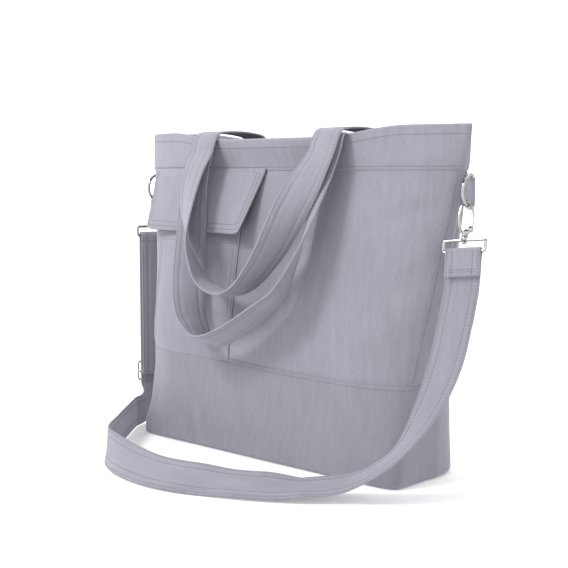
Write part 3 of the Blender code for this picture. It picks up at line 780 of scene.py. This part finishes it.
def make_flap():
    """The flap over the pocket: two layers sewn round the edge, hanging from the band's seam."""
    u, v = np.linspace(0, 1, 90)[None, :], np.linspace(0, 1, 50)[:, None]
    u, v = u + 0 * v, v + 0 * u
    height = BAND_SEAM - FLAP_BOTTOM
    from_edge = np.minimum(np.minimum(u, 1 - u) * 2 * FLAP_BOTTOM_HALF, v * height)
    puff = 0.35 * MM * np.sin(np.clip(from_edge / (4 * MM), 0, 1) * math.pi)
    puff = puff + 0.3 * MM * ease(from_edge / (14 * MM))
    outer, inner = flap_point(u, v, 1.9 * MM + puff), flap_point(u, v, 0.0)
    points, faces, uvs = cloth(outer, inner)
    faces = faces_out(points, faces)
    flap = add("flap_cloth", points, faces, LOOKS["canvas"], None, ["pocket_flap"], uvs)
    rows = []
    for inset in (4 * MM, 9.5 * MM):
        a, b = inset / (2 * FLAP_BOTTOM_HALF), inset / height
        side = np.linspace(0.98, b, 40)
        run = np.linspace(a, 1 - a, 80)
        us = np.concatenate([0 * side + a, run, 0 * side + 1 - a])
        vs = np.concatenate([side, 0 * run + b, side[::-1]])
        here = flap_point(us, vs, 2.15 * MM)
        rows.append((here, unit(flap_point(us, vs, 4 * MM) - here)))
    sewing = stitches("flap_stitches", rows, None)
    for piece in (flap, sewing):
        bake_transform(piece)


def make_seams():
    """The stitched rows round the bag."""
    rows = []
    for side in (-1, 1):
        t = share(np.linspace(0.004, 0.996, 400))
        for z, out in (
            (base_seam(t) - 3.5 * MM, LAP),
            (0 * t + BAND_SEAM + 3.0 * MM, LAP),
            (rim(t) - 9 * MM, LAP),
        ):
            here = skin(t, z, side, out)
            rows.append((here, unit(skin(t, z, side, out + 2 * MM) - here)))
    stitches("bag_stitches", rows, "bag")
    rows = []
    for way in (-1, 1):
        for side in (-1, 1):
            z = np.linspace(base_seam(way) + 2 * MM, BAND_SEAM - 2 * MM, 120)
            t = way * (1 - 4.5 * MM / section(z)[0])
            here = skin(t, z, side, 0.0)
            rows.append((here, unit(skin(t, z, side, 2 * MM) - here)))
    stitches("side_seam_stitches", rows, "bag")


# -------- handles and strap

def tape(centres, edges, width, thickness, insets):
    """A sewn band with soft edges and a groove along each row of stitches, and the band's frame."""
    ahead = unit(np.gradient(centres, axis=0))
    edge = unit(edges - ahead * np.sum(edges * ahead, 1, keepdims=True))
    face = np.cross(ahead, edge)
    half, thick = width / 2, thickness / 2
    spots, rises = [half, half - 0.35 * MM, half - 1.1 * MM], [0.0, 0.7, 1.0]
    for inset in insets:
        spots += [half - inset + 0.7 * MM, half - inset, half - inset - 0.7 * MM]
        rises += [1.0, 0.72, 1.0]
    spots += [(half - insets[-1]) * 0.5, 0.0]
    rises += [1.1, 1.12]
    half_top = list(zip(spots, rises))
    top = half_top + [(-w, n) for w, n in half_top[-2::-1]]
    bottom = [(w, -n) for w, n in top[1:-1]][::-1]
    profile = np.array(top + bottom)
    ring = (
        centres[:, None]
        + edge[:, None] * profile[None, :, :1]
        + face[:, None] * (profile[None, :, 1:] * thick)
    )
    count, sides = ring.shape[:2]
    faces = round_faces(count, sides)
    far = lengths_along(centres)
    uvs = np.stack(np.broadcast_arrays(profile[None, :, 0], far[:, None]), -1)
    return ring.reshape(-1, 3), faces, uvs.reshape(-1, 2), edge, face


def sewn_tape(name, replaced, centres, edges, thickness, body, held, rests_on, width=BAND_WIDTH,
              insets=BAND_STITCHES, skip=0, **thread):
    """A band's cloth and the rows of stitches on its faces, which leave out the last skip points."""
    points, faces, uvs, edge, face = tape(centres, edges, width, thickness, insets)
    faces = faces_out(points, faces)
    piece = add(f"{name}_cloth", points, faces, LOOKS["webbing"], body, [replaced], uvs)
    rows = []
    keep = slice(len(centres) - skip)
    for inset in insets:
        for way in (1, -1):
            for side in (1, -1):
                line = centres + edge * way * (width / 2 - inset) + face * side * thickness * 0.36
                rows.append((line[keep], face[keep] * side))
    return piece, stitches(f"{name}_stitches", rows, body, **thread)


# Each handle from left root to right root, and the strap from right to left: the centre (x, y, z) in mm,
# and the direction of its front edge
FRONT_HANDLE = (
    (-97, -39, 365, -1, 0, 0),
    (-98, -44, 364, -1, 0, 0),
    (-99, -48, 357, -1, 0, 0),
    (-99, -52, 345, -1, 0, 0),
    (-99.5, -61, 324, -1, -0.15, 0),
    (-98, -68, 285, -1, -0.25, 0),
    (-95, -74, 246, -0.9, -0.44, 0),
    (-93, -80, 204, -0.8, -0.6, 0),
    (-82, -88, 168, -0.5, -0.85, 0.1),
    (-68, -92, 149, -0.3, -0.92, 0.25),
    (-47, -96, 134, 0, -0.92, 0.4),
    (-8, -96, 147, 0.05, -0.92, 0.38),
    (34, -93, 174, 0.2, -0.92, 0.33),
    (60, -87, 197, 0.35, -0.9, 0.25),
    (79, -78, 240, 0.6, -0.78, 0.1),
    (89, -70, 277, 0.8, -0.6, 0),
    (93, -60, 318, 1, -0.15, 0),
    (96, -52, 345, 1, 0, 0),
    (96, -48, 357, 1, 0, 0),
    (95, -44, 364, 1, 0, 0),
    (95, -39, 365, 1, 0, 0),
)
BACK_HANDLE = (
    (-94, 31, 366, 1, 0, 0),
    (-94, 22, 369, 1, 0, 0),
    (-94, -5, 371.5, 1, 0, 0),
    (-94, -34, 371, 1, 0, 0),
    (-94, -46, 368, 1, 0, 0),
    (-94, -53, 358, 1, 0, 0),
    (-94, -58, 345, 1, 0, 0),
    (-94, -69, 326, 1, -0.1, 0),
    (-93, -80, 294, 1, -0.3, 0),
    (-80, -92, 247, 0.69, -0.73, 0),
    (-67, -93, 218, 0.5, -0.86, 0),
    (-50, -92, 199, 0.25, -0.95, 0.05),
    (-22, -92, 189, 0, -1, 0.1),
    (4, -92, 195, -0.1, -1, 0.05),
    (26, -92, 212, -0.25, -0.95, 0),
    (53, -91, 244, -0.5, -0.87, 0),
    (74, -85, 284, -0.78, -0.62, 0),
    (88, -74, 317, -0.93, -0.3, 0),
    (94, -60, 343, -1, 0, 0),
    (94, -53, 358, -1, 0, 0),
    (94, -46, 368, -1, 0, 0),
    (94, -34, 371, -1, 0, 0),
    (94, -5, 371.5, -1, 0, 0),
    (94, 22, 369, -1, 0, 0),
    (94, 31, 366, -1, 0, 0),
)
STRAP_RUN = (
    (252, -27, 205, -1, -0.17, 0),
    (250, -34, 174, -1, -0.17, 0),
    (247, -46, 133, -1, -0.10, 0),
    (240, -65, 92, -1, 0.20, 0),
    (228, -87, 56, -0.8, 0.6, 0),
    (208, -103, 33, -0.5, 0.8, 0.2),
    (181, -119, 17, -0.2, 0.9, 0.3),
    (148, -148, 12.5, 0.3, 0.85, 0.15),
    (112, -172, 13, 0.4, 0.75, 0.25),
    (75, -190, 13, 0.35, 0.8, 0.35),
    (37, -207, 15, 0.35, 0.75, 0.5),
    (-9, -213, 15.5, 0.2, 0.75, 0.65),
    (-59, -207, 18, 0, 0.6, 0.8),
    (-101, -193, 20, -0.1, 0.3, 0.95),
    (-124, -174, 20.5, 0, 0, 1),
    (-155, -137, 20.5, 0, 0, 1),
    (-189, -97, 20.5, 0, 0, 1),
    (-226, -52, 20.5, 0, 0, 1),
)


def read_stations(stations):
    table = np.array(stations, float)
    return table[:, :3] * MM, unit(table[:, 3:])


def make_handles():
    """Both handles, sewn in at the rim."""
    for label, stations, root, tip in (
        ("front", FRONT_HANDLE, (0, -0.038, 0.364), (0, -0.047, 0.364)),
        ("back", BACK_HANDLE, (0, 0.034, 0.366), (0, 0.024, 0.366)),
    ):
        centres, ways = read_stations(stations)
        ts = np.linspace(0, 1, 900)
        centres, ways, _ = resampled(spline(centres, ts), spline(ways, ts), 2 * MM)
        name = f"{label}_handle"
        band = [f"{label}_band_cloth"]
        for part in sewn_tape(name, name, centres, ways, HANDLE_CLOTH, None, "hung", band):
            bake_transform(part)


def ring_point(side, angle):
    x, y = BARS[side]
    return vec(x, y - RING_RADIUS * math.sin(angle), RING_Z - RING_RADIUS * math.cos(angle))


# For each side: the hook's angle on the ring's bow, the way it hangs, and where its gate and eye point
HOOKS = {
    1: (math.radians(30), (0.142, -0.305, -0.942), (0.866, 0.5, 0), (0.986, 0.17, 0)),
    -1: (math.radians(31), (0, 0, -1), (-0.97, 0.25, 0), (-0.33, -0.944, 0)),
}


def frame_from(origin, across, up):
    """(turn, move) of a frame at origin, with Z along up and X as near to across as that allows."""
    z = unit(vec(*up))
    x = unit(vec(*across) - z * (vec(*across) @ z))
    return np.stack([x, np.cross(z, x), z], 1), vec(*origin)


def hook_frame(side, gate=False):
    angle, hang, gate_way, eye_way = HOOKS[side]
    up = -unit(vec(*hang))
    return frame_from(ring_point(side, angle) - up * SEAT, gate_way if gate else eye_way, up)


def at(matrix, point):
    return matrix[0] @ vec(*point) + matrix[1]


def left_eye():
    """The left eye's bar, the direction along it, and the direction that it faces."""
    matrix = hook_frame(-1)
    return at(matrix, (0, 0, EYE_BAR)), matrix[0][:, 0], -matrix[0][:, 1]


def round_bar(bar, up, front, radius):
    """A half circle round a bar, from its front over the top to its back."""
    turns = [math.pi * i / TURN_STEPS for i in range(TURN_STEPS + 1)]
    return [bar + front * (radius * math.cos(a)) + up * (radius * math.sin(a)) for a in turns]


def strap_line():
    """The strap's centres and edge directions, from its sewn right end to the seam at the left eye."""
    right = hook_frame(1)
    bar = at(right, (0, 0, EYE_BAR))
    up, front = right[0][:, 2], -right[0][:, 1]
    layer = STRAP_CLOTH / 2 + GAP
    loop = EYE_WIRE + GAP + STRAP_CLOTH / 2
    run, ways = read_stations(STRAP_RUN)
    centres = [bar - up * s + front * layer for s in (FOLD_LENGTH, FOLD_LENGTH * 0.6, 7 * MM)]
    centres += round_bar(bar, up, front, loop)
    centres += [bar - up * s - front * layer for s in (7 * MM, FOLD_LENGTH * 0.7)]
    edges = [-right[0][:, 0]] * len(centres)
    ts = np.linspace(0, 1, 700)
    centres += list(spline(run, ts))
    edges += list(spline(ways, ts))
    left, across, ahead = left_eye()
    foot = vec(left[0], left[1], 0) + ahead * LAYER_Y + UP * (SLIDER_Z - STRAP_RISE_END)
    came = unit((foot - run[-1]) * vec(1, 1, 0))
    radius = foot[2] - run[-1][2]
    for i in range(25):
        turn = math.pi / 2 * i / 24
        back, down = STRAP_RISE_REACH * (1 - math.sin(turn)), radius * math.cos(turn)
        centres.append(foot - came * back - UP * down)
        twist = mix(came, -across, ease(i / 24))
        edges.append(UP * math.cos(turn) + twist * -math.sin(turn))
    straight = left[2] - 2 * MM - foot[2]
    centres += [foot + UP * (straight * i / 40) for i in range(1, 41)]
    centres += round_bar(left, UP, ahead, LAYER_Y)[1:-1]
    centres += [left - ahead * LAYER_Y - UP * s for s in (2 * MM, TAIL_DROP)]
    edges += [across] * (len(centres) - len(edges))
    return np.array(centres), unit(np.array(edges))


def make_strap():
    """The shoulder strap, its sewn end at the right hook, and its tail round the slider."""
    centres, ways = strap_line()
    centres, ways, _ = resampled(centres, ways, 2 * MM)
    eyes = ["left_eye_wire", "right_eye_wire"]
    sewn_tape("strap", "shoulder_strap", centres, ways, STRAP_CLOTH, "strap", "hung", eyes)
    # rows across the folded end, which hold it round the right eye's bar
    right = hook_frame(1)
    front = -right[0][:, 1]
    rows = []
    for drop in (FOLD_LENGTH - 7 * MM, FOLD_LENGTH - 4.5 * MM):
        ends = [at(right, (x, 0, EYE_BAR - drop)) for x in np.linspace(-15, 15, 12) * MM]
        line = np.array(ends) + front * (2 * STRAP_CLOTH / 2 + GAP + 0.05 * MM)
        rows.append((line, np.tile(front, (len(line), 1))))
    stitches("strap_end_stitches", rows, "strap", pitch=2.6 * MM, length=2.0 * MM)
    left, across, ahead = left_eye()
    leg = vec(left[0], left[1], 0)
    wrap = SLIDER_WIRE + GAP + STRAP_CLOTH / 2
    hub = leg - ahead * (LAYER_Y - wrap) + UP * SLIDER_Z
    top = left[2] - TAIL_DROP - GAP
    tail = [leg - ahead * LAYER_Y + UP * z for z in np.linspace(top, SLIDER_Z + 3 * MM, 80)]
    tail += round_bar(hub, -UP, -ahead, wrap)
    tail.append(tail[-1] + UP * 6 * MM)
    tail, ways, _ = resampled(np.array(tail), np.tile(across, (len(tail), 1)), 1.2 * MM)
    rests_on = ["slider_bar_metal", "strap_cloth"]
    pieces = sewn_tape("strap_tail", "strap_tail", tail, ways, STRAP_CLOTH, None, "hung", rests_on, skip=14)
    for part in pieces:
        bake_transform(part)


def make_tabs():
    """The folded canvas tabs that hold the side rings."""
    for side, label in ((1, "right"), (-1, "left")):
        bar = vec(*BARS[side], RING_Z)
        root = vec(side * (float(section(RING_Z + TAB_HEIGHT / 2)[0]) - 2.5 * MM), 0, RING_Z)
        reach = RING_WIRE + GAP + TAB_CLOTH / 2
        pinch = TAB_CLOTH / 2 + GAP
        way = unit(bar - root)
        beside = np.cross(vec(0, 0, side), way)
        neck = bar - way * 3 * MM
        path = [root - beside * pinch, neck - beside * pinch * 1.3]
        for turn in np.radians(np.linspace(-115, 115, 19)):
            path.append(bar + (way * math.cos(turn) + beside * math.sin(turn)) * reach)
        path += [neck + beside * pinch * 1.3, root + beside * pinch]
        path = np.array(path)
        centres, ways, _ = resampled(path, np.tile(vec(0, 0, side), (len(path), 1)), 0.6 * MM)
        name = f"{label}_tab"
        sewn_tape(
            name, name, centres, ways, TAB_CLOTH, "bag", "folded", [f"{label}_ring_wire"], TAB_HEIGHT,
            TAB_STITCHES, pitch=2.4 * MM, length=1.8 * MM, radius=0.28 * MM,
        )


# -------- metal

# The hook's turned parts: radius and height in mm
COLLAR = (
    (2.2, -0.1), (2.9, 0.2), (3.2, 0.9), (3.2, 1.5), (2.7, 1.9),
    (2.7, 2.4), (3.1, 3.0), (3.0, 4.2), (2.2, 5.6), (1.2, 6.4),
)
HEAD = (
    (0.6, -7.6), (1.9, -7.4), (2.4, -6.9), (2.4, -6.2), (1.9, -5.8), (POST / MM, -5.7), (POST / MM, 0.5),
)
BOSS = ((1.9, -4.6), (3.2, -4.4), (3.6, -3.8), (3.6, -0.9), (3.2, -0.4), (1.9, -0.3))


def spun(profile):
    return turned([(r * MM, c * MM) for r, c in profile], (0, 0, 0), (0, 0, 1))


def oval(angle):
    across = math.copysign(abs(math.sin(angle)) ** OVAL_SQUARE, math.sin(angle))
    return vec(OVAL_HALF * across, 0, OVAL_MIDDLE + OVAL_RISE * math.cos(angle))


def metal(name, shapes, matrix, body, replaces, look="nickel"):
    points, faces = placed(shapes, matrix)
    return add(name, points, faces, LOOKS[look], body, replaces)


def make_ring(side, label):
    arc = [ring_point(side, a) for a in np.arange(61) * math.pi / 60]
    top, bottom = arc[-1], arc[0]
    bar = [mix(top, bottom, s) for s in np.linspace(0.08, 0.92, 12)]
    path = np.array(arc + bar)
    metal(
        f"{label}_ring_wire", [tube(path, RING_WIRE, 20, cyclic=True)], (np.eye(3), vec(0, 0, 0)),
        f"{label}_ring", [f"{label}_d_ring"],
    )


def make_hook(side, label):
    """A swivel hook: its body, sprung gate and pin, and the eye that the strap is sewn to."""
    matrix = hook_frame(side, gate=True)
    hinge = oval(HINGE)
    out = vec(0, 1, 0)
    bend = [oval(a) for a in np.linspace(NOSE, -math.pi - 0.75, 90)]
    shapes = [
        tube(bend, HOOK_WIRE, 20),
        spun(COLLAR),
        spun(HEAD),
        barrel(2.6 * MM, hinge + out * 1.55 * MM, hinge + out * 2.9 * MM),
        barrel(2.6 * MM, hinge - out * 2.9 * MM, hinge - out * 1.55 * MM),
        barrel(2.6 * MM, vec(1.2, -2.9, 4.4) * MM, vec(1.2, -1.55, 4.4) * MM),
        barrel(2.6 * MM, vec(1.2, 1.55, 4.4) * MM, vec(1.2, 2.9, 4.4) * MM),
    ]
    metal(f"{label}_hook_metal", shapes, matrix, f"{label}_hook", [f"{label}_hook_body"])
    lever = [oval(a) for a in np.linspace(HINGE, GATE_TIP + 0.04, 40)]
    shapes = [
        tube(lever, GATE_WIRE, 18),
        barrel(1.9 * MM, hinge - out * 1.2 * MM, hinge + out * 1.2 * MM),
    ]
    metal(f"{label}_gate_metal", shapes, matrix, f"{label}_gate", [f"{label}_hook_gate"])
    pin = [barrel(0.75 * MM, hinge - out * 3.05 * MM, hinge + out * 3.05 * MM, 0.2 * MM)]
    metal(f"{label}_pin_metal", pin, matrix, f"{label}_hook", [f"{label}_gate_pin"], "steel")
    half, top = EYE_HALF, EYE_TOP - 1.5 * MM
    path = []
    corners = ((half, EYE_BAR), (-half, EYE_BAR), (-half, top), (half, top))
    for (x, z), first in zip(corners, (0, 90, 180, 270)):
        inward = EYE_CORNER if z == EYE_BAR else -EYE_CORNER
        middle = vec(x - math.copysign(EYE_CORNER, x), 0, z + inward)
        for degrees in np.linspace(first, first + 90, 9):
            turn = -math.radians(degrees)
            path.append(middle + EYE_CORNER * vec(math.cos(turn), 0, math.sin(turn)))
    path = np.array(path)
    count = len(path)
    dense = []
    for i in range(count):
        a, b = path[i], path[(i + 1) % count]
        steps = max(int(np.linalg.norm(b - a) / (1.5 * MM)), 1)
        dense += [mix(a, b, k / steps) for k in range(steps)]
    shapes = [
        tube(np.array(dense), EYE_WIRE, 20, cyclic=True),
        spun(BOSS),
    ]
    metal(f"{label}_eye_wire", shapes, hook_frame(side), "strap", [f"{label}_eye"])


def make_slider():
    left, across, _ = left_eye()
    depth = STRAP_CLOTH / 2 + GAP + SLIDER_WIRE
    front, middle = -(LAYER_Y + depth), LAYER_Y - depth
    bend = 3 * MM
    path = []
    for (x, z), first in zip(((1, 1), (1, -1), (-1, -1), (-1, 1)), (90, 0, -90, -180)):
        centre = vec(x * (SLIDER_HALF - bend), front, z * (SLIDER_RISE - bend))
        for degrees in np.linspace(first, first - 90, 9):
            turn = math.radians(degrees)
            path.append(centre + bend * vec(math.cos(turn), 0, math.sin(turn)))
    matrix = frame_from((left[0], left[1], SLIDER_Z), across, (0, 0, 1))
    shapes = [tube(np.array(path), SLIDER_WIRE, 18, cyclic=True)]
    for x in (-SLIDER_HALF, SLIDER_HALF):
        shapes.append(barrel(SLIDER_WIRE * 1.05, (x, front, 0), (x, middle + 1.6 * MM, 0), 0.5 * MM))
    metal("slider_frame_metal", shapes, matrix, "slider", ["slider_frame"])
    reach = SLIDER_HALF - 0.3 * MM
    bar = [barrel(SLIDER_WIRE, (-reach, middle, 0), (reach, middle, 0))]
    metal("slider_bar_metal", bar, matrix, "slider", ["slider_bar"], "steel")


# -------- studio

WHITE = (1, 1, 1, 1)
FLOOR_RADIUS = 6.5  # of the flat part
CURVE = 2.5
BACKDROP_TOP = 8.0
FLOOR_SIDES = 72
# Name, place, width in metres, power in watts
LAMPS = (
    ("key", (-0.42, -1.25, 1.45), 0.45, 22),
    ("fill", (2.6, -1.2, 1.8), 1.8, 6),
    ("top", (0.2, 0.5, 2.8), 2.4, 46),
)
LAMPS_AIM = (0, 0, 0.18)
CAMERA_PLACE = (0.9008, -0.9683, 0.3219)
CAMERA_DEGREES = (84.53, 0.0, 43.41)
LENS, SENSOR = 72.57, 36.0  # in mm


def make_studio():
    """A pale floor that curves up into a backdrop, soft light, and the camera."""
    look, tree, shader = shader_of("paper_backdrop")
    grain = node(tree, "ShaderNodeTexNoise", Scale=900.0, Detail=3.0)
    bump = node(tree, "ShaderNodeBump", Strength=0.02, Distance=0.1 * MM)
    tree.links.new(grain.outputs["Fac"], bump.inputs["Height"])
    tree.links.new(bump.outputs["Normal"], shader.inputs["Normal"])
    fill(shader, {
        "Base Color": (0.86, 0.86, 0.865, 1),
        "Roughness": 0.9,
        "Specular IOR Level": 0.1,
        "Emission Color": WHITE,
    })
    place = node(tree, "ShaderNodeTexCoord").outputs["Object"]
    distance = node(tree, "ShaderNodeVectorMath", operation="LENGTH")
    tree.links.new(place, distance.inputs[0])
    glow = node(tree, "ShaderNodeMapRange")
    fill(glow, {"From Min": 0.5, "From Max": 5.0, "To Min": 0.16, "To Max": 0.64})
    tree.links.new(distance.outputs["Value"], glow.inputs["Value"])
    tree.links.new(glow.outputs["Result"], shader.inputs["Emission Strength"])
    profile = [(3.0, 0.0), (FLOOR_RADIUS, 0.0)]
    for a in np.radians(range(10, 91, 10)):
        profile.append((FLOOR_RADIUS + CURVE * math.sin(a), CURVE * (1 - math.cos(a))))
    profile.append((FLOOR_RADIUS + CURVE, BACKDROP_TOP))
    points = [(r * math.cos(a), r * math.sin(a), z) for r, z in profile for a in full_turn(FLOOR_SIDES)]
    faces = grid_faces(len(profile), FLOOR_SIDES, cyclic=True).tolist()
    faces.append(list(range(FLOOR_SIDES))[::-1])
    floor = add("studio_floor", np.array(points), [f[::-1] for f in faces], look, None)
    world = bpy.data.worlds.new("studio")
    bpy.context.scene.world = world
    world.use_nodes = True
    fill(world.node_tree.nodes["Background"], {"Color": WHITE, "Strength": 0.16})
    for name, place, size, power in LAMPS:
        data = bpy.data.lights.new(name, "AREA")
        data.energy, data.size = power, size
        lamp = bpy.data.objects.new(name, data)
        bpy.context.scene.collection.objects.link(lamp)
        lamp.location = place
        aim = -unit(vec(*place) - vec(*LAMPS_AIM))
        turn, _ = frame_from((0, 0, 0), (aim[1], -aim[0], 0), -aim)
        lamp.rotation_euler = mathutils.Matrix(turn.tolist()).to_euler()
    data = bpy.data.cameras.new("camera")
    data.lens, data.sensor_width = LENS, SENSOR
    data.clip_end = 60.0
    camera = bpy.data.objects.new("camera", data)
    bpy.context.scene.collection.objects.link(camera)
    camera.location = CAMERA_PLACE
    camera.rotation_euler = [math.radians(a) for a in CAMERA_DEGREES]
    bpy.context.scene.camera = camera
    bpy.context.scene.view_settings.view_transform = "Standard"


make_base()
make_faces()
make_lining()
make_pocket()
make_flap()
make_seams()
make_handles()
make_strap()
make_tabs()
for way, word in ((1, "right"), (-1, "left")):
    make_ring(way, word)
    make_hook(way, word)
make_slider()
make_studio()
